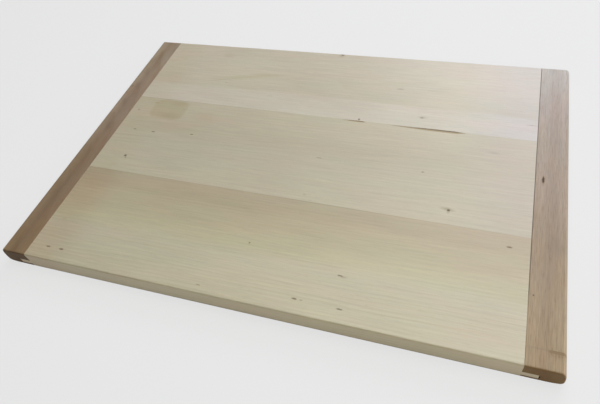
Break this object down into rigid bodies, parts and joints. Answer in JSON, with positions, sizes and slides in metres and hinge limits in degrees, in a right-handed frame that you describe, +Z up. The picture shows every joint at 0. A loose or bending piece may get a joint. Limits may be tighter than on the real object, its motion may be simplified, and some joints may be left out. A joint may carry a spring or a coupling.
{
  "type": "wooden board with breadboard ends",
  "caption": "Flat rectangular wooden board of edge-glued pale planks held between two grooved hardwood end boards, used as a smooth sliding, transfer or work surface.",
  "frame": {"origin": "middle of the flat underside, on the surface that the board lies on", "axes": "+X along the planks, from the left end board to the right one; +Y from the front edge to the back edge; +Z up, out of the top face"},
  "size_m": [0.6, 0.4, 0.024],
  "materials": {
    "front_plank": "planed and sanded pale timber, dry satin",
    "middle_plank": "planed and sanded pale timber, dry satin",
    "back_plank": "planed and sanded pale timber, dry satin",
    "end_board": "planed darker hardwood with short flecks, satin"
  },
  "bodies": {
    "root": {"front_plank": "front_plank", "middle_plank": "middle_plank", "back_plank": "back_plank", "left_end_board": "end_board", "right_end_board": "end_board"}
  },
  "joints": []
}
